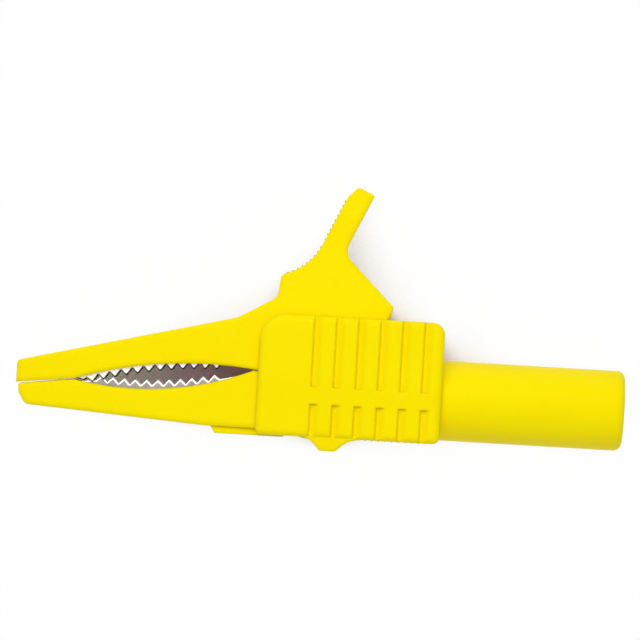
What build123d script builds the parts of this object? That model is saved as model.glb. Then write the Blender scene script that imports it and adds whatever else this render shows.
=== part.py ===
"""Insulated crocodile clip with a shrouded 4 mm socket, built in millimetres.

The clip lies on its side.  +X runs along the barrel and out of the socket, +Y points
to the thumb lever, +Z is across the clip, and z = 0 is its plane of symmetry.  The
origin is the outer end of the 4 mm contact's bore, on the barrel's axis.
"""

from build123d import *
from math import acos, atan2, cos, degrees, hypot, radians, sin, sqrt, tan
import os

# Grip housing and barrel
BARREL_D = 12.0            # outside diameter of the barrel
BARREL_LEN = 27.5          # from the housing's rear face to the barrel's end
BARREL_WALL = 1.5
BARREL_ROUND = 1.2         # rounding of the barrel's end
HOUSING_LEN = 27.5
HOUSING_TOP = 11.6         # above the barrel's axis
HOUSING_BOTTOM = 6.5       # below the barrel's axis
CHEEK_WALL = 2.0
EDGE_ROUND = 1.0           # rounding of the housing's side edges
BROW_ROUND = 4.0           # large corner at the top front of the cheeks
SEAT_WALL = 0.8            # housing floor under the lower jaw cover
FLOOR_WALL = 2.0           # housing floor behind the lower jaw cover
SEAT_LEN = 3.0             # how far the lower jaw cover reaches into the housing
TONGUE_LEN = 6.7           # floor lip that runs forward under the lower jaw cover
TONGUE_WIDTH = 9.0
TONGUE_DROP = 0.25         # how far the lip stands below the housing floor

# Grip ribs on the cheeks, finger guard and finger strip below
GROOVE_PITCH = 3.3
GROOVE_WIDTH = 1.35
GROOVE_DEPTH = 0.65
GROOVE_FIRST = 7.9         # first groove behind the housing's front face
GROOVE_STOP = 2.5          # no groove starts nearer than this to its rear face
BAND_TOP = 1.05            # smooth band between the upper and the lower grooves
BAND_BOTTOM = 1.55
GUARD_REACH = 1.95         # finger guard below the housing floor
GUARD_BACK = 7.65          # its front foot behind the housing's front face
GUARD_FOOT = 6.75
GUARD_TIP = 1.8
GUARD_WIDTH = 10.0
STRIP_WIDTH = 8.0
STRIP_PITCH = 1.0
STRIP_RIB = 0.15           # how far the fine ribs stand out
STRIP_BACK = 14.5          # first rib behind the housing's front face
STRIP_STOP = 2.5           # smooth end ahead of its rear face

# Socket: turned contact, insulating sleeve and their fixing
PLUG_D = 4.0
MOUTH_SET = 2.0            # contact mouth behind the barrel's end
BORE_DEPTH = 20.0
BORE_LEAD = 0.25           # lead-in cone ahead of the contact's bore
CONTACT_WALL = 0.6
CONTACT_LEN = 26.5         # from the mouth to the collar's front face
COLLAR_D = 8.0
COLLAR_T = 1.2
SLEEVE_WALL = 0.67
SLEEVE_LEN = 22.6
SLEEVE_PROUD = 0.6         # sleeve end in front of the contact mouth
SHROUD_DEPTH = 19.0        # shroud recess, from the barrel's end
SCREW_D = 3.0
SCREW_GRIP = 5.0           # thread length in the contact
HEAD_D = 5.4
HEAD_T = 2.0
WASHER_D = 5.5
WASHER_T = 0.6

# Hinge
PIVOT_BACK = 7.5           # pivot behind the housing's front face
PIVOT_Y = 6.4
PIN_D = 2.5
RIVET_D = 4.6
RIVET_T = 0.85
BUSH_WALL = 0.5
SWING = 26.0               # full opening of the upper jaw, degrees

# Jaws
JAW_REACH = 43.7           # pivot to the tip of the covers
SHEET = 0.6                # nickel-plated steel sheet
COVER_WALL = 1.2
TIP_WALL = 0.9             # end wall of each cover
COVER_ROUND = 0.5          # rounding of the covers' outer edges
COVER_WIDTH = 11.4         # between the cheeks
TIP_WIDTH = 7.2            # at the jaw tips
TIP_TOP = 2.45             # top of the upper tip above the barrel's axis
TIP_BOTTOM = 4.0           # bottom of the lower tip below it
TIP_SEAM = 0.95            # seam below the barrel's axis at the tips
TIP_BACK = 0.35            # lower tip behind the upper one
SEAM_GAP = 0.15
UPPER_SLOPE = 14.2         # slope of the upper cover, degrees
LOWER_SLOPE = 3.45         # slope of the lower cover, degrees
MOUTH_FROM_TIP = 8.7       # front corner of the mouth behind the tips
MOUTH_FRONT_Y = 0.1
MOUTH_AHEAD = 0.7          # rear corner of the mouth ahead of the housing
MOUTH_REAR_Y = 3.0
MOUTH_RISE = 1.5           # bow of the mouth's upper edge above its chord
MOUTH_DROP = 2.05          # bow of its lower edge below the chord
TOOTH_PITCH = 1.68
TOOTH_DEPTH = 1.0
UPPER_TEETH = 12
LOWER_TEETH = 11
TOOTH_BOW_UPPER = 0.88     # bow of the line of the upper tooth tips
TOOTH_BOW_LOWER = 0.76
EAR_R = 2.9                # pivot ears of the sheet metal
EAR_GAP = 0.15             # between an upper and a lower ear
JAW_REAR = 7.7             # end of the upper jaw behind the pivot
TAIL_RISE = 2.2            # side flanges of the lower jaw's tail

# Upper cover over the housing, and thumb lever; places are measured from the pivot
BROW_AHEAD = 11.0          # where the slope of the cover turns up to the thumb rest
NAPE = (-5.25, 7.7)        # inner corner below the thumb rest
SHOULDER = (-4.9, 11.15)   # front corner of the thumb rest
REST_END = (1.2, 16.4)     # where the thumb rest runs into the lever
REST_DIP = 1.0             # hollow of the thumb rest below its chord
LEVER_ANGLE = 65.2
LEVER_LEN = 7.5            # straight front face
LEVER_T = 3.5
LEVER_END = 2.1            # end of the lever beyond its straight front face
LEVER_BEVEL = 0.7          # how far the bevelled end runs across the lever
LEVER_FOOT = 14.8          # height of the lever's foot at the back
HEEL = (12.2, 7.1)         # rear corner, which swings down into the housing
HEEL_FOOT = 11.1           # where the heel's rear face meets the cover's underside
HAUNCH = (3.5, -2.8)       # lower edge of the cover's cheek behind the pivot
THROAT = (-1.0, -4.1)      # lower edge of the cover's cheek ahead of the pivot
ROOF_RISE = 3.7            # underside of the cover's roof above the pivot
RIDGE_PITCH = 0.8
RIDGE_DEPTH = 0.15

# Torsion spring
WIRE_D = 0.7
SPRING_TURNS = 3           # full turns, besides the part turn between the legs
SPRING_PITCH = 0.78
UPPER_LEG = 6.0            # end of the spring's upper leg behind the pivot
LOWER_LEG = 7.5            # end of its lower leg behind the pivot

# Clearances
RUNNING = 0.05             # pin in the turning ears, radial
CLOSE = 0.03               # parts pushed into each other, radial
SIDE_GAP = 0.1             # sheet metal to the cover around it
CHEEK_GAP = 0.3            # covers to the housing's cheeks
SWING_GAP = 0.35           # heel to the wall of the well that it swings in
POCKET_GAP = 0.2           # around the contact's collar
RIVET_GAP = 0.4            # around the rivet's heads, radial
SCREW_GAP = 0.15           # around the screw in the tab and the washer, radial

# Derived places
BARREL_END = MOUTH_SET
HOUSING_REAR = BARREL_END - BARREL_LEN
HOUSING_FRONT = HOUSING_REAR - HOUSING_LEN
INNER = COVER_WIDTH / 2 + CHEEK_GAP
HALF = INNER + CHEEK_WALL
PIVOT_X = HOUSING_FRONT + PIVOT_BACK
TIP_X = PIVOT_X - JAW_REACH
SEAT_Y = -HOUSING_BOTTOM + SEAT_WALL
FLOOR_Y = -HOUSING_BOTTOM + FLOOR_WALL
SEAT_END = HOUSING_FRONT + SEAT_LEN
MOUTH_FRONT = (TIP_X + MOUTH_FROM_TIP, MOUTH_FRONT_Y)
MOUTH_REAR = (HOUSING_FRONT - MOUTH_AHEAD, MOUTH_REAR_Y)
UPPER_OUT = COVER_WIDTH / 2 - COVER_WALL - SIDE_GAP
LOWER_OUT = UPPER_OUT - SHEET - EAR_GAP
LOWER_WALL = COVER_WIDTH / 2 - LOWER_OUT - SIDE_GAP
COLLAR_X = -CONTACT_LEN
TAB_X = COLLAR_X - COLLAR_T
WASHER_X = TAB_X - SHEET
HEAD_X = WASHER_X - WASHER_T
POCKET_HALF = max(COLLAR_D / 2, LOWER_OUT) + POCKET_GAP
CONTACT_R = PLUG_D / 2 + CONTACT_WALL
SLEEVE_R = CONTACT_R + CLOSE + SLEEVE_WALL
BUSH_R = PIN_D / 2 + CLOSE + BUSH_WALL
TAB_HALF = LOWER_OUT - SHEET
UPPER_RUN = tan(radians(UPPER_SLOPE))
LOWER_RUN = tan(radians(LOWER_SLOPE))
ROOF_Y = PIVOT_Y + ROOF_RISE
ROOF_WALL = COVER_WALL / cos(radians(UPPER_SLOPE))
ROOF_KNEE = TIP_X + (ROOF_Y + ROOF_WALL - TIP_TOP) / UPPER_RUN
BED_Y = SEAT_Y + COVER_WALL
BED_KNEE = TIP_X + (-TIP_BOTTOM - SEAT_Y) / LOWER_RUN
NOSE_X = TIP_X + TIP_WALL + SIDE_GAP
LEVER_UP = (cos(radians(LEVER_ANGLE)), sin(radians(LEVER_ANGLE)))
WELL_R = hypot(*HEEL) + SWING_GAP
FAR = 200.0                # longer than the clip, for cutters


def from_pivot(point):
    """Row position of a point given from the pivot."""
    return PIVOT_X + point[0], PIVOT_Y + point[1]


def outline(*corners):
    """Closed face through (x, y, radius, bow) corners; a bow bends the stretch that follows."""
    edges = []
    full = [tuple(c) + (0,) * (4 - len(c)) for c in corners]
    for (x0, y0, _, bow), (x1, y1, _, _) in zip(full, full[1:] + full[:1]):
        if bow:
            run = hypot(x1 - x0, y1 - y0)
            middle = ((x0 + x1) / 2 - (y1 - y0) / run * bow, (y0 + y1) / 2 + (x1 - x0) / run * bow)
            edges.append(ThreePointArc((x0, y0), middle, (x1, y1)))
        else:
            edges.append(Line((x0, y0), (x1, y1)))
    face = make_face(edges)
    for x, y, radius, _ in full:
        if radius:
            face = fillet(face.vertices().sort_by_distance(Vector(x, y, 0))[0], radius)
    return face


def slab(face, half):
    """Side profile drawn out to the same width on both sides of z = 0."""
    return extrude(face, amount=half, both=True)


def span(x0, x1, y0, y1, half):
    """Block between two x and two y values, centred on z = 0."""
    return Pos((x0 + x1) / 2, (y0 + y1) / 2, 0) * Box(x1 - x0, y1 - y0, 2 * half)


def rod(x0, x1, radius):
    """Cylinder on the barrel's axis."""
    return Pos((x0 + x1) / 2, 0, 0) * Rot(0, 90, 0) * Cylinder(radius, x1 - x0)


def plan_at(x, half_rear):
    """Half width at x of a part that tapers from the housing to the tips."""
    slope = (COVER_WIDTH - TIP_WIDTH) / 2 / (HOUSING_FRONT - TIP_X)
    return half_rear - slope * max(0.0, HOUSING_FRONT - x)


def plan(half_rear):
    """Tall prism with the tapered plan of the jaws."""
    front = TIP_X - 10
    points = [(front, plan_at(front, half_rear)), (HOUSING_FRONT, half_rear), (FAR, half_rear)]
    mirror = [(x, -z) for x, z in reversed(points)]
    return extrude(Plane.XZ * Polygon(*points, *mirror, align=None), amount=FAR, both=True)


def roof(x):
    """Underside of the upper cover's roof, which the upper jaw's roof lies against."""
    return min(TIP_TOP + (x - TIP_X) * UPPER_RUN - ROOF_WALL, ROOF_Y)


def bed(x):
    """Upper side of the lower cover's floor, which the lower jaw lies on."""
    return max(-TIP_BOTTOM - (x - TIP_X) * LOWER_RUN + COVER_WALL, BED_Y)


def seam(x):
    """Middle of the seam between the covers, ahead of the mouth."""
    share = (x - TIP_X) / MOUTH_FROM_TIP
    return -TIP_SEAM + (MOUTH_FRONT_Y + TIP_SEAM) * share


def arc_y(start, end, bow, x):
    """Height at x of the flat arc from start to end; a positive bow lies above its chord."""
    (x0, y0), (x1, y1) = start, end
    run = hypot(x1 - x0, y1 - y0)
    radius = (run * run / 4 + bow * bow) / (2 * abs(bow))
    side = 1 if bow > 0 else -1
    sag = side * (radius - abs(bow))
    cx = (x0 + x1) / 2 + (y1 - y0) / run * sag
    cy = (y0 + y1) / 2 - (x1 - x0) / run * sag
    return cy + side * sqrt(radius * radius - (x - cx) ** 2)


def teeth(first, count, tip_y, depth):
    """Corner points of a row of teeth whose tips lie at tip_y(x); depth points to the root."""
    points = []
    for i in range(count):
        x = first + i * TOOTH_PITCH
        points.append((x, tip_y(x)))
        if i < count - 1:
            root = x + TOOTH_PITCH / 2
            points.append((root, tip_y(root) + depth))
    return points


def soften(body, shown):
    """Round the long edges of the side faces where shown(x, y) says that they are outer ones."""
    edges = []
    for edge in body.edges():
        c = edge.center()
        at_side = abs(abs(c.Z) - plan_at(c.X, COVER_WIDTH / 2)) < 0.02
        if at_side and shown(c.X, c.Y):
            edges.append(edge)
    return fillet(edges, COVER_ROUND)


def repeats(first, pitch, stop):
    """Places of a pattern along the housing, from first behind its front to stop ahead of its rear."""
    count = int((HOUSING_LEN - first - stop) / pitch) + 1
    return [HOUSING_FRONT + first + i * pitch for i in range(count)]


def grooves(outer, half):
    """Ribbed grip: slanted grooves above and below a smooth band, on both cheeks."""
    section = [(0, 0), (0.15, GROOVE_DEPTH), (0.5, GROOVE_DEPTH), (GROOVE_WIDTH, 0)]
    for side in (1, -1):
        for x in repeats(GROOVE_FIRST, GROOVE_PITCH, GROOVE_STOP):
            points = [(x + dx, side * (half - dz)) for dx, dz in section]
            points += [(x + GROOVE_WIDTH, side * (half + 1)), (x, side * (half + 1))]
            cutter = extrude(Plane.XZ * Polygon(*points, align=None), amount=FAR, both=True)
            outer -= Pos(0, BAND_TOP + FAR, 0) * cutter
            outer -= Pos(0, -BAND_BOTTOM - FAR, 0) * cutter
    return outer


def grip_housing():
    """Cheeks, floor, finger guard and barrel, moulded in one piece."""
    shell = slab(
        outline(
            (HOUSING_FRONT, -HOUSING_BOTTOM, EDGE_ROUND),
            (HOUSING_FRONT, HOUSING_TOP, BROW_ROUND),
            (HOUSING_REAR, HOUSING_TOP, 1.8),
            (HOUSING_REAR, -HOUSING_BOTTOM, EDGE_ROUND),
        ),
        HALF,
    )
    rims = [e for e in shell.edges() if abs(abs(e.center().Z) - HALF) < 0.01]
    shell = fillet(rims, EDGE_ROUND)
    shell = grooves(shell, HALF)
    barrel = rod(HOUSING_REAR - 2, BARREL_END, BARREL_D / 2)
    end = barrel.edges().filter_by(GeomType.CIRCLE).sort_by(Axis.X)[-1]
    barrel = fillet(end, BARREL_ROUND)
    tongue_y = -HOUSING_BOTTOM - TONGUE_DROP
    tongue_x = HOUSING_FRONT - TONGUE_LEN
    tongue = slab(
        outline(
            (tongue_x, SEAT_Y, 0),
            (tongue_x + 0.6, tongue_y, 0.3),
            (HOUSING_FRONT + 4.1, tongue_y, 0),
            (HOUSING_FRONT + 5.1, -HOUSING_BOTTOM + 0.5, 0),
            (HOUSING_FRONT + 2, SEAT_Y, 0),
        ),
        TONGUE_WIDTH / 2,
    )
    foot_x = HOUSING_FRONT + GUARD_BACK
    guard_y = -HOUSING_BOTTOM - GUARD_REACH
    tip_x = foot_x + 2.4
    guard = slab(
        outline(
            (foot_x - 2, -HOUSING_BOTTOM + 1, 0),
            (foot_x - 1.6, -HOUSING_BOTTOM, 1.5),
            (foot_x + 0.7, -HOUSING_BOTTOM - 0.4, 1.2),
            (tip_x, guard_y, 0.5),
            (tip_x + GUARD_TIP, guard_y, 0.5),
            (foot_x + GUARD_FOOT, -HOUSING_BOTTOM, 0),
            (foot_x + GUARD_FOOT, -HOUSING_BOTTOM + 1, 0),
        ),
        GUARD_WIDTH / 2,
    )
    for x in repeats(STRIP_BACK, STRIP_PITCH, STRIP_STOP):
        turned = Pos(x, -HOUSING_BOTTOM, 0) * Rot(0, 0, 180)
        guard += turned * ridge(STRIP_PITCH, STRIP_RIB, STRIP_WIDTH / 2)
    body = shell + barrel + tongue + guard
    swept = Pos(PIVOT_X, PIVOT_Y, 0) * Cylinder(WELL_R, 2 * INNER)
    well = swept + span(HOUSING_FRONT - 1, PIVOT_X, FLOOR_Y, HOUSING_TOP + 5, INNER)
    well = well & span(HOUSING_FRONT - 1, HOUSING_REAR, FLOOR_Y, HOUSING_TOP + 5, INNER)
    body -= well
    body -= span(HOUSING_FRONT - 1, SEAT_END, SEAT_Y, FLOOR_Y + 1, INNER)
    body -= span(PIVOT_X, COLLAR_X, FLOOR_Y, POCKET_HALF, POCKET_HALF)
    body -= rod(COLLAR_X - 1, SLEEVE_PROUD, CONTACT_R + CLOSE)
    body -= rod(SLEEVE_PROUD - SLEEVE_LEN, SLEEVE_PROUD, SLEEVE_R + CLOSE)
    body -= rod(BARREL_END - SHROUD_DEPTH, BARREL_END + 1, BARREL_D / 2 - BARREL_WALL)
    return body


def upper_cover_profile():
    """Side outline of the upper cover with its thumb lever."""
    brow_x = PIVOT_X - BROW_AHEAD
    up_x, up_y = LEVER_UP
    rest_x, rest_y = from_pivot(REST_END)
    bevel = (rest_x + LEVER_LEN * up_x, rest_y + LEVER_LEN * up_y)
    end = (bevel[0] + LEVER_END * up_x, bevel[1] + LEVER_END * up_y)
    crown = (end[0] + LEVER_BEVEL * up_y, end[1] - LEVER_BEVEL * up_x)
    back = (end[0] + LEVER_T * up_y, end[1] - LEVER_T * up_x)
    foot_y = PIVOT_Y + LEVER_FOOT
    foot_x = back[0] - (back[1] - foot_y) * up_x / up_y
    half_gap = SEAM_GAP / 2
    return outline(
        (TIP_X, seam(TIP_X) + half_gap, 0.2),
        (TIP_X, TIP_TOP, 0.8),
        (brow_x, TIP_TOP + (brow_x - TIP_X) * UPPER_RUN, 6),
        from_pivot(NAPE) + (1.6,),
        from_pivot(SHOULDER) + (0.9, -REST_DIP),
        (rest_x, rest_y, 1),
        bevel + (0.6,),
        crown + (0.8,),
        back + (0.35,),
        (foot_x, foot_y, 2.2),
        from_pivot(HEEL) + (0.7,),
        (PIVOT_X + HEEL_FOOT, ROOF_Y, 0),
        from_pivot(HAUNCH) + (2.5,),
        from_pivot(THROAT) + (3,),
        (MOUTH_REAR[0], MOUTH_REAR[1] + half_gap, 0, -MOUTH_RISE),
        (MOUTH_FRONT[0], MOUTH_FRONT[1] + half_gap, 0),
    )


def ridge(pitch, height, half):
    """One fine grip ridge across the clip, standing up along +Y from y = 0."""
    foot = pitch * 0.45
    return slab(outline((-foot, -height, 0), (foot, -height, 0), (0, height, 0)), half)


def ridge_spots():
    """Where the fine grip ridges lie on the lever's front and the thumb rest, with normals."""
    up_x, up_y = LEVER_UP
    x1, y1 = from_pivot(REST_END)
    spots = []
    for i in range(int(LEVER_LEN / RIDGE_PITCH)):
        along = (i + 0.5) * RIDGE_PITCH
        spots.append((x1 + along * up_x, y1 + along * up_y, -up_y, up_x))
    x0, y0 = from_pivot(SHOULDER)
    chord = hypot(x1 - x0, y1 - y0)
    ux, uy = (x1 - x0) / chord, (y1 - y0) / chord
    for i in range(1, int(chord / RIDGE_PITCH)):
        along = i * RIDGE_PITCH
        sag = 4 * REST_DIP * along * (chord - along) / chord ** 2
        spots.append((x0 + ux * along + uy * sag, y0 + uy * along - ux * sag, -uy, ux))
    return spots


def upper_jaw_cover():
    """Moulded upper cover: hood over the upper jaw, cheeks over the pivot, thumb lever."""
    body = slab(upper_cover_profile(), HALF) & plan(COVER_WIDTH / 2)
    slope_end = PIVOT_X - BROW_AHEAD
    line = (ROOF_Y - 1) / (slope_end - TIP_X)
    body = soften(body, lambda x, y: y > 0.3 + line * (min(x, slope_end) - TIP_X))
    for x, y, nx, ny in ridge_spots():
        turn = Rot(0, 0, degrees(atan2(-nx, ny)))
        body += Pos(x, y, 0) * turn * ridge(RIDGE_PITCH, RIDGE_DEPTH, COVER_WIDTH / 2 - COVER_ROUND)
    hollow = outline(
        (TIP_X + TIP_WALL, -HALF, 0),
        (TIP_X + TIP_WALL, roof(TIP_X + TIP_WALL), 0),
        (ROOF_KNEE, ROOF_Y, 0),
        (FAR, ROOF_Y, 0),
        (FAR, -HALF, 0),
    )
    body -= slab(hollow, HALF) & plan(COVER_WIDTH / 2 - COVER_WALL)
    return body - Pos(PIVOT_X, PIVOT_Y, 0) * Cylinder(RIVET_D / 2 + RIVET_GAP, 2 * HALF)


def lower_jaw_cover():
    """Moulded lower cover, open along the top."""
    half_gap = SEAM_GAP / 2
    body = slab(
        outline(
            (TIP_X + TIP_BACK, seam(TIP_X) - half_gap, 0.2),
            (MOUTH_FRONT[0], MOUTH_FRONT[1] - half_gap, 0, -MOUTH_DROP),
            (MOUTH_REAR[0], MOUTH_REAR[1] - half_gap, 0),
            (HOUSING_FRONT + 0.8, MOUTH_REAR[1] - 0.35, 0),
            (SEAT_END, SEAT_Y + 4, 1),
            (SEAT_END, SEAT_Y, 0),
            (BED_KNEE, SEAT_Y, 0),
            (TIP_X + 1.5, bed(TIP_X + 1.5) - COVER_WALL, 1.2),
            (TIP_X + TIP_BACK + 0.1, seam(TIP_X) - 1.4, 1),
        ),
        HALF,
    ) & plan(COVER_WIDTH / 2)
    body = soften(body, lambda x, y: y < seam(TIP_X) - 0.3 and x < SEAT_END - 0.1)
    hollow = outline(
        (TIP_X + TIP_WALL, bed(TIP_X + TIP_WALL), 0),
        (TIP_X + TIP_WALL, HALF, 0),
        (FAR, HALF, 0),
        (FAR, BED_Y, 0),
        (BED_KNEE, BED_Y, 0),
    )
    return body - (slab(hollow, HALF) & plan(COVER_WIDTH / 2 - LOWER_WALL))


def upper_jaw():
    """Stamped channel, teeth down, with ears outside those of the lower jaw."""
    front = (TIP_X + 9.2, MOUTH_FRONT[1] - 1.1)
    rear = (PIVOT_X - 12.5, MOUTH_REAR[1] - 0.3)
    line = lambda x: arc_y(front, rear, TOOTH_BOW_UPPER, x)
    tips = teeth(TIP_X + 11.4, UPPER_TEETH, line, TOOTH_DEPTH)
    first, last = tips[0], tips[-1]
    edge = [(NOSE_X, seam(NOSE_X) + 0.2), (MOUTH_FRONT[0], MOUTH_FRONT[1] + 0.15)]
    edge += [(first[0] - 1.2, first[1] + 0.25), (first[0] - TOOTH_PITCH / 2, first[1] + 0.65)]
    edge += tips
    edge += [
        (last[0] + TOOTH_PITCH / 2, last[1] + TOOTH_DEPTH),
        (MOUTH_REAR[0], MOUTH_REAR[1] + 0.6),
        (PIVOT_X - 1.5, PIVOT_Y - EAR_R, 1),
        (PIVOT_X + 2.0, PIVOT_Y - EAR_R, 1.5),
        (PIVOT_X + JAW_REAR, ROOF_Y - 2 * SHEET, 0),
        (PIVOT_X + JAW_REAR, ROOF_Y, 0),
        (ROOF_KNEE, ROOF_Y, 0),
        (NOSE_X, roof(NOSE_X), 0),
    ]
    body = slab(outline(*edge), HALF) & plan(UPPER_OUT)
    hollow = outline(
        (NOSE_X + SHEET, -HALF, 0),
        (NOSE_X + SHEET, roof(NOSE_X + SHEET) - SHEET, 0),
        (ROOF_KNEE, ROOF_Y - SHEET, 0),
        (FAR, ROOF_Y - SHEET, 0),
        (FAR, -HALF, 0),
    )
    body -= slab(hollow, HALF) & plan(UPPER_OUT - SHEET)
    return body - Pos(PIVOT_X, PIVOT_Y, 0) * Cylinder(PIN_D / 2 + RUNNING, 2 * HALF)


def lower_jaw():
    """Stamped channel, teeth up, with pivot ears and a tail that ends in a screwed tab."""
    front = (TIP_X + 13.2, MOUTH_FRONT[1] + 0.62)
    rear = (PIVOT_X - 13, MOUTH_REAR[1] - 0.88)
    line = lambda x: arc_y(front, rear, -TOOTH_BOW_LOWER, x)
    tips = teeth(TIP_X + 12.8, LOWER_TEETH, line, -0.85 * TOOTH_DEPTH)
    first, last = tips[0], tips[-1]
    flange_end = HEAD_X - 1
    edge = [(NOSE_X, seam(NOSE_X) - 0.2), (MOUTH_FRONT[0], MOUTH_FRONT[1] - 0.3)]
    edge += [(first[0] - TOOTH_PITCH / 2, first[1] - 0.75 * TOOTH_DEPTH)]
    edge += tips
    edge += [
        (last[0] + TOOTH_PITCH / 2, last[1] - 0.6 * TOOTH_DEPTH),
        (MOUTH_REAR[0], MOUTH_REAR[1] - 0.5),
        (PIVOT_X - EAR_R - 1.6, PIVOT_Y, 3),
        (PIVOT_X - 2.2, PIVOT_Y + EAR_R, 2),
        (PIVOT_X + 2.2, PIVOT_Y + EAR_R, 2),
        (PIVOT_X + 4.2, PIVOT_Y - 8, 2),
        (PIVOT_X + 7.0, BED_Y + TAIL_RISE, 2),
        (flange_end, BED_Y + TAIL_RISE, 0.6),
        (flange_end, BED_Y, 0),
        (BED_KNEE, BED_Y, 0),
        (NOSE_X, bed(NOSE_X), 0),
    ]
    body = slab(outline(*edge), HALF) & plan(LOWER_OUT)
    hollow = outline(
        (NOSE_X + SHEET, bed(NOSE_X + SHEET) + SHEET, 0),
        (NOSE_X + SHEET, FAR, 0),
        (FAR, FAR, 0),
        (FAR, BED_Y + SHEET, 0),
        (BED_KNEE, BED_Y + SHEET, 0),
    )
    body -= slab(hollow, HALF) & plan(LOWER_OUT - SHEET)
    body += span(flange_end - 1, TAB_X, BED_Y, BED_Y + SHEET, TAB_HALF)
    body += span(WASHER_X, TAB_X, BED_Y, 0, TAB_HALF) + rod(WASHER_X, TAB_X, TAB_HALF)
    body -= rod(WASHER_X - 1, TAB_X + 1, SCREW_D / 2 + SCREW_GAP)
    return body - Pos(PIVOT_X, PIVOT_Y, 0) * Cylinder(PIN_D / 2 + CLOSE, 2 * HALF)


def pivot_pin():
    """Rivet through both pairs of ears, with its heads in the cover's cheeks."""
    grip = UPPER_OUT + CLOSE
    pin = Cylinder(PIN_D / 2, 2 * grip)
    for side in (1, -1):
        head = Pos(0, 0, side * (grip + RIVET_T / 2)) * Cylinder(RIVET_D / 2, RIVET_T)
        rim = head.edges().filter_by(GeomType.CIRCLE).sort_by(Axis.Z)[-1 if side > 0 else 0]
        pin += chamfer(rim, RIVET_T * 0.5)
    return Pos(PIVOT_X, PIVOT_Y, 0) * pin


def spring_bush():
    """Sleeve on the pin that carries the spring and keeps the inner ears apart."""
    half = LOWER_OUT - SHEET - CLOSE
    ring = Cylinder(BUSH_R, 2 * half) - Cylinder(PIN_D / 2 + CLOSE, 2 * half)
    return Pos(PIVOT_X, PIVOT_Y, 0) * ring


def wire_section():
    """Eight-sided section of the spring's wire, which keeps the coils light."""
    return RegularPolygon(WIRE_D / 2, 8)


def jaw_spring():
    """Torsion spring: coils on the bush, one leg under the upper jaw, one on the lower."""
    radius = BUSH_R + WIRE_D / 2 + 0.05
    upper = (UPPER_LEG, ROOF_Y - SHEET - WIRE_D / 2 - CLOSE - PIVOT_Y)
    lower = (LOWER_LEG, BED_Y + SHEET + WIRE_D / 2 + CLOSE - PIVOT_Y)

    def touch(point, side):
        reach = hypot(*point)
        return atan2(point[1], point[0]) + side * acos(radius / reach)

    end = touch(upper, 1)
    start = touch(lower, -1)
    turn = (degrees(start - end)) % 360 + 360 * SPRING_TURNS
    height = SPRING_PITCH * turn / 360
    coil = Helix(SPRING_PITCH, height, radius, lefthand=True)
    section = Plane(coil @ 0, z_dir=coil % 0) * wire_section()
    wire = Pos(0, 0, -height / 2) * Rot(0, 0, degrees(start)) * sweep(section, path=coil, is_frenet=True)
    for angle, point, z in ((start, lower, -height / 2), (end, upper, height / 2)):
        foot = Vector(radius * cos(angle), radius * sin(angle), z)
        tip = Vector(point[0], point[1], z)
        lap = (tip - foot).normalized() * WIRE_D / 2
        leg = Plane(foot - lap, z_dir=lap) * wire_section()
        wire += extrude(leg, amount=(tip - foot + lap).length)
    return Pos(PIVOT_X, PIVOT_Y, 0) * wire


def contact_socket():
    """Turned brass socket for the plug, with a collar and a tapped rear end."""
    body = rod(COLLAR_X, BORE_LEAD, CONTACT_R) + rod(TAB_X, COLLAR_X, COLLAR_D / 2)
    body -= rod(-BORE_DEPTH, BORE_LEAD, PLUG_D / 2)
    lead = Rot(0, 90, 0) * Cone(PLUG_D / 2, PLUG_D / 2 + BORE_LEAD, BORE_LEAD)
    body -= Pos(BORE_LEAD / 2, 0, 0) * lead
    return body - rod(TAB_X - 1, TAB_X + SCREW_GRIP, SCREW_D / 2)


def socket_sleeve():
    """Insulating tube pushed over the contact."""
    x0, x1 = SLEEVE_PROUD - SLEEVE_LEN, SLEEVE_PROUD
    tube = rod(x0, x1, SLEEVE_R) - rod(x0 - 1, x1 + 1, CONTACT_R + CLOSE)
    rim = [e for e in tube.edges().filter_by(GeomType.CIRCLE)
           if abs(e.center().X - x1) < 0.01 and abs(e.radius - SLEEVE_R) < 0.01]
    return chamfer(rim, SLEEVE_WALL * 0.4)


def contact_screw():
    """Slotted pan-head screw that clamps the tail's tab to the contact."""
    head = rod(HEAD_X - HEAD_T, HEAD_X, HEAD_D / 2)
    rim = head.edges().filter_by(GeomType.CIRCLE).sort_by(Axis.X)[0]
    head = chamfer(rim, HEAD_T * 0.3)
    head -= span(HEAD_X - HEAD_T - 1, HEAD_X - HEAD_T * 0.55, -HALF, HALF, 0.4)
    return head + rod(HEAD_X, TAB_X + SCREW_GRIP - 0.5, SCREW_D / 2 - CLOSE)


def lock_washer():
    """Split spring washer under the screw head."""
    ring = rod(HEAD_X, WASHER_X, WASHER_D / 2)
    ring -= rod(HEAD_X - 1, WASHER_X + 1, SCREW_D / 2 + SCREW_GAP)
    return ring - span(HEAD_X - 1, WASHER_X + 1, 0, HALF, 0.3)


NODES = (
    grip_housing,
    upper_jaw_cover,
    lower_jaw_cover,
    upper_jaw,
    lower_jaw,
    pivot_pin,
    spring_bush,
    jaw_spring,
    contact_socket,
    socket_sleeve,
    contact_screw,
    lock_washer,
)

os.makedirs("parts", exist_ok=True)
for make in NODES:
    piece = make()
    export_step(piece, f"parts/{make.__name__}.step")
    print(make.__name__, round(piece.volume, 2), piece.is_valid, len(piece.solids()))
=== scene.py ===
"""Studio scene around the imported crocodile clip: finishes, floor, soft light and camera.

Lengths are metres, in the clip's own frame: +X runs out of the socket, +Y to the thumb
lever, +Z up from the cheek that the clip lies on.
"""

import bmesh
import bpy
import math
from mathutils import Matrix, Vector


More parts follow.
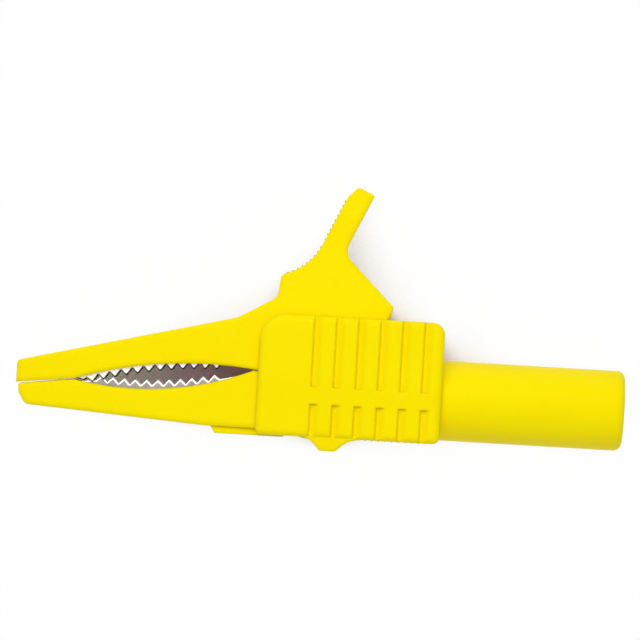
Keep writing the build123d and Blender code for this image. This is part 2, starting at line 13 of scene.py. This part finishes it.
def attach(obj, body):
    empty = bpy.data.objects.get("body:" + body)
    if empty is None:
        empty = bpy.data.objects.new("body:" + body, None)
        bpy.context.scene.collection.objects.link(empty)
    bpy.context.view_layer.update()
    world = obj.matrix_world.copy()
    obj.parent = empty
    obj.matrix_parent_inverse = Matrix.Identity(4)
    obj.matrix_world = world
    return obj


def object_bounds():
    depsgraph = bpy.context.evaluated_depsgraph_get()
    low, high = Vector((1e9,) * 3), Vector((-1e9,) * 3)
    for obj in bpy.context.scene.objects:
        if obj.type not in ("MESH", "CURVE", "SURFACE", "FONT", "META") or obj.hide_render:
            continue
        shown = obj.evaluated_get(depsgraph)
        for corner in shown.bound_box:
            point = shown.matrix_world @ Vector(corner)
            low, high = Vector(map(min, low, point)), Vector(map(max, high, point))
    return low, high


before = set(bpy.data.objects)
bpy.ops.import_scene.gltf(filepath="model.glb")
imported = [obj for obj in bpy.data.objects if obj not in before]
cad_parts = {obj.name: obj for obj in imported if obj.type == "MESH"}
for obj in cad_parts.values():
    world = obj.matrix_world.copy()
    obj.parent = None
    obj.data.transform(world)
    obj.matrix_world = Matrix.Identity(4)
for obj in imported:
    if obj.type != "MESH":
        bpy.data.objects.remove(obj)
cad_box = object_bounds()
MM = 0.001

# Camera: straight above the clip, rolled as the photograph is, with a long lens
VIEW_WIDTH = 96.24 * MM
VIEW_DISTANCE = 0.9
VIEW_ROLL = -math.atan(9.5 / 162)
AIM = Vector((-44.26 * MM, 11.03 * MM, 0))
SENSOR = 36.0

# Light level
SKY = 0.58
KEY_POWER = 0.68
FILL_POWER = 0.18

# Plastic colours, linear
YELLOW = (0.955, 0.800, 0.001)
YELLOW_DEEP = (0.945, 0.752, 0.001)
GLOSS_TINT = (1.0, 0.9, 0.06)
SLEEVE_YELLOW = (0.90, 0.66, 0.006)

# Finger guard: outline in millimetres behind the housing's front face and above the tip of the
# narrower guard in the solid, whose tip face it just covers
HOUSING_FRONT = -53.0 * MM
GUARD_LINE = (
    (5.0, 2.6), (7.2, 1.95), (8.3, 1.55), (9.0, 0.85), (9.65, 0.09), (10.0, -0.01),
    (11.9, -0.01), (12.25, 0.11), (13.1, 0.95), (14.1, 1.6), (15.6, 1.95), (17.5, 2.6),
)
GUARD_HALF = 7.5 * MM
GUARD_EDGE = 1.1 * MM

# Floor: paper tone in the open, and painted shade where the clip encloses it, brown towards the tips
# and purple towards the rear of the mouth
PAPER = (0.86, 0.86, 0.86)
MOUTH_FRONT_PAINTED_SHADE = (0.17, 0.10, 0.025)
MOUTH_REAR_PAINTED_SHADE = (0.66, 0.44, 1.0)
MOUTH_FRONT_X, MOUTH_REAR_X = -76 * MM, -62 * MM
SHADE_REACH = 30 * MM
FLOOR_HALF = 3.0


def material(name):
    """New node material and its shader."""
    made = bpy.data.materials.new(name)
    made.use_nodes = True
    return made, made.node_tree, made.node_tree.nodes["Principled BSDF"]


def add(tree, kind, **values):
    """New node with its named properties and input values set."""
    node = tree.nodes.new(kind)
    for key, value in values.items():
        if hasattr(node, key):
            setattr(node, key, value)
        else:
            node.inputs[key.replace("_", " ")].default_value = value
    return node


def place(tree, scale=(1, 1, 1), turn=0.0):
    """Object coordinates, stretched and turned about Z for directed textures."""
    coords = add(tree, "ShaderNodeTexCoord")
    mapping = add(tree, "ShaderNodeMapping")
    mapping.inputs["Scale"].default_value = scale
    mapping.inputs["Rotation"].default_value = (0, 0, turn)
    tree.links.new(coords.outputs["Object"], mapping.inputs["Vector"])
    return mapping.outputs["Vector"]


def noise(tree, vector, scale, detail=4.0, rough=0.55):
    """Noise value, mostly between 0.3 and 0.7."""
    node = add(tree, "ShaderNodeTexNoise")
    node.inputs["Scale"].default_value = scale
    node.inputs["Detail"].default_value = detail
    node.inputs["Roughness"].default_value = rough
    tree.links.new(vector, node.inputs["Vector"])
    return node.outputs["Fac"]


def spread(tree, value, low, high, start=0.3, end=0.7):
    """Value from one range to another."""
    node = add(tree, "ShaderNodeMapRange")
    for key, number in zip(("From Min", "From Max", "To Min", "To Max"), (start, end, low, high)):
        node.inputs[key].default_value = number
    tree.links.new(value, node.inputs["Value"])
    return node.outputs["Result"]


def mix_colour(tree, factor, first, second):
    """Colour between two, by a value."""
    node = add(tree, "ShaderNodeMix", data_type="RGBA")
    tree.links.new(factor, node.inputs["Factor"])
    for socket, colour in ((node.inputs[6], first), (node.inputs[7], second)):
        if hasattr(colour, "links"):
            tree.links.new(colour, socket)
        else:
            socket.default_value = (*colour, 1)
    return node.outputs[2]


def bump(tree, height, strength, distance, below=None):
    """Bump from a height value, on top of another bump if given."""
    node = add(tree, "ShaderNodeBump")
    node.inputs["Strength"].default_value = strength
    node.inputs["Distance"].default_value = distance
    tree.links.new(height, node.inputs["Height"])
    if below is not None:
        tree.links.new(below, node.inputs["Normal"])
    return node.outputs["Normal"]


def rounded(tree, radius):
    """Normal that turns softly over the edges, as mould radii and worn edges do."""
    node = add(tree, "ShaderNodeBevel", samples=8)
    node.inputs["Radius"].default_value = radius
    return node.outputs["Normal"]


def moulded(name, colour, deep, edge, gloss=0.46):
    """Satin moulded plastic: even colour with faint flow marks, fine spark texture, light scuffs."""
    made, tree, shader = material(name)
    even = place(tree)
    flow = place(tree, scale=(0.35, 1.0, 1.0), turn=0.15)
    clouds = noise(tree, flow, 120, detail=3)
    mottle = noise(tree, even, 900, detail=5)
    tint = mix_colour(tree, spread(tree, clouds, 0.0, 1.0), colour, deep)
    speck = mix_colour(tree, spread(tree, mottle, 0.0, 0.25), tint, deep)
    tree.links.new(speck, shader.inputs["Base Color"])
    scuffs = noise(tree, place(tree, scale=(0.12, 1.6, 1.0), turn=0.5), 2600, detail=6, rough=0.7)
    rough = spread(tree, scuffs, gloss - 0.05, gloss + 0.09)
    tree.links.new(rough, shader.inputs["Roughness"])
    spark = noise(tree, even, 9000, detail=2)
    skin = bump(tree, spark, 0.16, 0.00004, below=rounded(tree, edge))
    skin = bump(tree, mottle, 0.10, 0.0001, below=skin)
    skin = bump(tree, clouds, 0.10, 0.0004, below=skin)
    tree.links.new(skin, shader.inputs["Normal"])
    shader.inputs["IOR"].default_value = 1.42
    shader.inputs["Specular IOR Level"].default_value = 0.2
    shader.inputs["Specular Tint"].default_value = (*GLOSS_TINT, 1)
    shader.inputs["Subsurface Weight"].default_value = 0.12
    shader.inputs["Subsurface Radius"].default_value = (1.0, 0.55, 0.08)
    shader.inputs["Subsurface Scale"].default_value = 0.0007
    return made


def plated(name, bright, dull, rough=0.24, grain=(0.05, 1.0, 1.0), scratches=0.10):
    """Metal with rolling grain, faint tarnish clouds and fine scratches."""
    made, tree, shader = material(name)
    shader.inputs["Metallic"].default_value = 1.0
    lines = noise(tree, place(tree, scale=grain), 5200, detail=6, rough=0.65)
    clouds = noise(tree, place(tree), 420, detail=5)
    stain = mix_colour(tree, spread(tree, clouds, 0.0, 0.75), bright, dull)
    tone = mix_colour(tree, spread(tree, lines, 0.0, 0.35), stain, dull)
    tree.links.new(tone, shader.inputs["Base Color"])
    blend = add(tree, "ShaderNodeMath", operation="ADD")
    tree.links.new(spread(tree, lines, -0.05, 0.10), blend.inputs[0])
    tree.links.new(spread(tree, clouds, rough, rough + 0.12), blend.inputs[1])
    tree.links.new(blend.outputs[0], shader.inputs["Roughness"])
    skin = bump(tree, lines, scratches, 0.00003)
    skin = bump(tree, clouds, 0.08, 0.0001, below=skin)
    tree.links.new(skin, shader.inputs["Normal"])
    return made


def painted_edge_shade_and_highlight(made, width, painted_edge_shade, bright):
    """Painted light and shade on the cut edges of a stamped sheet: one colour where they turn down,
    away from the key light, and another where they turn up towards it.
    """
    tree = made.node_tree
    shader = tree.nodes["Principled BSDF"]
    plain = shader.inputs["Base Color"].links[0].from_socket
    flat = add(tree, "ShaderNodeNewGeometry").outputs["True Normal"]
    lean = add(tree, "ShaderNodeVectorMath", operation="SUBTRACT")
    tree.links.new(rounded(tree, width), lean.inputs[0])
    tree.links.new(flat, lean.inputs[1])
    split = add(tree, "ShaderNodeSeparateXYZ")
    tree.links.new(lean.outputs["Vector"], split.inputs["Vector"])
    # Painted shade mask: edges that turn down, away from the key light
    down = spread(tree, split.outputs["Y"], 1.0, 0.0, start=-0.22, end=-0.05)
    # Painted highlight mask: edges that turn up, towards the key light
    up = spread(tree, split.outputs["Y"], 0.0, 1.0, start=0.05, end=0.22)
    tone = mix_colour(tree, down, plain, painted_edge_shade)
    tone = mix_colour(tree, up, tone, bright)
    tree.links.new(tone, shader.inputs["Base Color"])
    return made


def turned(name, bright, dull, rough=0.22):
    """Turned metal: tool marks round the X axis."""
    made, tree, shader = material(name)
    shader.inputs["Metallic"].default_value = 1.0
    marks = noise(tree, place(tree, scale=(1.0, 0.03, 0.03)), 9000, detail=4)
    clouds = noise(tree, place(tree), 500, detail=4)
    tone = mix_colour(tree, spread(tree, clouds, 0.0, 1.0), bright, dull)
    tree.links.new(tone, shader.inputs["Base Color"])
    tree.links.new(spread(tree, marks, rough - 0.06, rough + 0.12), shader.inputs["Roughness"])
    tree.links.new(bump(tree, marks, 0.18, 0.00003), shader.inputs["Normal"])
    return made


def finish_nodes():
    """Give every CAD node its finish, and return the housing's."""
    cover = moulded("cover_plastic_look", YELLOW, YELLOW_DEEP, 1.1 * MM)
    housing = moulded("housing_plastic_look", YELLOW, YELLOW_DEEP, 0.55 * MM, gloss=0.50)
    sleeve = moulded("sleeve_plastic_look", SLEEVE_YELLOW, (0.84, 0.59, 0.004), 0.3 * MM, gloss=0.30)
    # Painted edge shade and painted edge highlight: the upper jaw's cut edges all get the painted
    # shade, the lower jaw's get painted shade where they turn down and a painted highlight where they
    # turn up
    painted_edge_shade, bright = (0.015, 0.013, 0.012), (1.0, 0.98, 0.93)
    # One nickel plating in two copies: the upper jaw's brighter one is painted light, the lower jaw's
    # much darker one is painted shade
    upper_nickel_lit_copy = plated("upper_jaw_nickel_painted_light", (0.93, 0.89, 0.81), (0.80, 0.75, 0.66))
    upper_nickel_lit_copy = painted_edge_shade_and_highlight(upper_nickel_lit_copy, 0.45 * MM, painted_edge_shade, painted_edge_shade)
    lower_nickel_shaded_copy = plated("lower_jaw_nickel_painted_shade", (0.38, 0.34, 0.32), (0.20, 0.18, 0.17))
    lower_nickel_shaded_copy = painted_edge_shade_and_highlight(lower_nickel_shaded_copy, 0.45 * MM, painted_edge_shade, bright)
    zinc = plated("pin_steel_look", (0.72, 0.72, 0.71), (0.55, 0.55, 0.55), rough=0.28)
    wire = plated("spring_steel_look", (0.55, 0.55, 0.56), (0.38, 0.37, 0.37), rough=0.26)
    brass = turned("contact_brass_look", (0.86, 0.70, 0.38), (0.76, 0.58, 0.28))
    looks = {
        "grip_housing": housing,
        "upper_jaw_cover": cover,
        "lower_jaw_cover": cover,
        "upper_jaw": upper_nickel_lit_copy,
        "lower_jaw": lower_nickel_shaded_copy,
        "pivot_pin": zinc,
        "spring_bush": zinc,
        "jaw_spring": wire,
        "contact_socket": brass,
        "socket_sleeve": sleeve,
        "contact_screw": zinc,
        "lock_washer": wire,
    }
    for node, look in looks.items():
        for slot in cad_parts[node].material_slots:
            slot.material = look
    return housing


def finger_guard(look):
    """Finger guard nearly as wide as the housing, with round edges, over the solid's narrower one."""
    bottom = cad_box[0].y
    profile = [(HOUSING_FRONT + dx * MM, bottom + dy * MM) for dx, dy in GUARD_LINE]
    form = bmesh.new()
    near = [form.verts.new((x, y, GUARD_HALF)) for x, y in profile]
    far = [form.verts.new((x, y, -GUARD_HALF)) for x, y in profile]
    form.faces.new(near)
    form.faces.new(list(reversed(far)))
    for i in range(len(profile)):
        j = (i + 1) % len(profile)
        form.faces.new((near[i], far[i], far[j], near[j]))
    bmesh.ops.recalc_face_normals(form, faces=form.faces)
    mesh = bpy.data.meshes.new("finger_guard")
    form.to_mesh(mesh)
    form.free()
    guard = bpy.data.objects.new("finger_guard", mesh)
    bpy.context.collection.objects.link(guard)
    soft = guard.modifiers.new("edges", "BEVEL")
    soft.width = GUARD_EDGE
    soft.segments = 4
    soft.limit_method = "ANGLE"
    soft.angle_limit = math.radians(35)
    for face in mesh.polygons:
        face.use_smooth = True
    mesh.materials.append(look)
    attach(guard, "grip_body")


def floor():
    """Plain white floor under the clip, which keeps its shadow and has painted shade where the clip
    encloses it, so it is darker inside the mouth.
    """
    turns = ((-1, -1), (1, -1), (1, 1), (-1, 1))
    corners = [(x * FLOOR_HALF, y * FLOOR_HALF, cad_box[0].z) for x, y in turns]
    mesh = bpy.data.meshes.new("floor")
    mesh.from_pydata(corners, [], [(0, 1, 2, 3)])
    plane = bpy.data.objects.new("floor", mesh)
    bpy.context.collection.objects.link(plane)
    look, tree, shader = material("floor_paper_with_painted_shade")
    shader.inputs["Roughness"].default_value = 0.9
    shader.inputs["Specular IOR Level"].default_value = 0.1
    glow = add(tree, "ShaderNodeEmission")
    path = add(tree, "ShaderNodeLightPath")
    seen = add(tree, "ShaderNodeMath", operation="MAXIMUM")
    tree.links.new(path.outputs["Is Camera Ray"], seen.inputs[0])
    tree.links.new(path.outputs["Is Glossy Ray"], seen.inputs[1])
    near = add(tree, "ShaderNodeAmbientOcclusion", samples=8)
    near.inputs["Distance"].default_value = SHADE_REACH
    across = add(tree, "ShaderNodeSeparateXYZ")
    tree.links.new(place(tree), across.inputs["Vector"])
    # Painted shade colour, brown towards the tips and purple towards the rear of the mouth
    rearward = spread(tree, across.outputs["X"], 0.0, 1.0, start=MOUTH_FRONT_X, end=MOUTH_REAR_X)
    deep = mix_colour(tree, rearward, MOUTH_FRONT_PAINTED_SHADE, MOUTH_REAR_PAINTED_SHADE)
    # Painted shade: where ambient occlusion finds the floor enclosed, the paper colour gives way to
    # the painted shade colour, which also tints the thin shadow right under the clip
    painted_floor_shade_mask = spread(tree, near.outputs["AO"], 1.0, 0.0, start=0.14, end=0.36)
    tone = mix_colour(tree, painted_floor_shade_mask, PAPER, deep)
    tree.links.new(tone, shader.inputs["Base Color"])
    open_sky = spread(tree, near.outputs["AO"], 0.0, 0.98, start=0.26, end=0.50)
    lift = add(tree, "ShaderNodeMath", operation="MULTIPLY")
    tree.links.new(seen.outputs[0], lift.inputs[0])
    tree.links.new(open_sky, lift.inputs[1])
    blend = add(tree, "ShaderNodeMixShader")
    tree.links.new(lift.outputs[0], blend.inputs["Fac"])
    tree.links.new(shader.outputs["BSDF"], blend.inputs[1])
    tree.links.new(glow.outputs["Emission"], blend.inputs[2])
    tree.links.new(blend.outputs["Shader"], tree.nodes["Material Output"].inputs["Surface"])
    mesh.materials.append(look)


def lamp(name, place_at, size, power):
    """Square soft box that points at the clip."""
    data = bpy.data.lights.new(name, "AREA")
    data.size = size
    data.energy = power
    box = bpy.data.objects.new(name, data)
    box.location = place_at
    box.rotation_mode = "QUATERNION"
    box.rotation_quaternion = (AIM - Vector(place_at)).to_track_quat("-Z", "Y")
    bpy.context.collection.objects.link(box)


def light():
    """Even white surroundings, a soft key above the clip and a weak fill from its lower side."""
    world = bpy.data.worlds.new("studio")
    world.use_nodes = True
    tree = world.node_tree
    background = tree.nodes["Background"]
    background.inputs["Color"].default_value = (1, 1, 1, 1)
    path = add(tree, "ShaderNodeLightPath")
    seen = add(tree, "ShaderNodeMath", operation="MAXIMUM")
    tree.links.new(path.outputs["Is Camera Ray"], seen.inputs[0])
    tree.links.new(path.outputs["Is Glossy Ray"], seen.inputs[1])
    level = spread(tree, seen.outputs[0], SKY, 1.0, start=0.0, end=1.0)
    tree.links.new(level, background.inputs["Strength"])
    bpy.context.scene.world = world
    lamp("key_box", (-0.08, 0.17, 0.33), 0.24, KEY_POWER)
    lamp("fill_box", (0.05, -0.40, 0.38), 0.4, FILL_POWER)


def camera():
    """Long-lens camera straight above the clip."""
    data = bpy.data.cameras.new("camera")
    data.sensor_width = SENSOR
    data.lens = SENSOR * VIEW_DISTANCE / VIEW_WIDTH
    data.clip_start, data.clip_end = 0.05, 10
    cam = bpy.data.objects.new("camera", data)
    cam.matrix_world = Matrix.Translation(AIM + Vector((0, 0, VIEW_DISTANCE))) @ Matrix.Rotation(
        -VIEW_ROLL, 4, "Z"
    )
    bpy.context.collection.objects.link(cam)
    bpy.context.scene.camera = cam


finger_guard(finish_nodes())
floor()
light()
camera()
bpy.context.scene.view_settings.view_transform = "Standard"
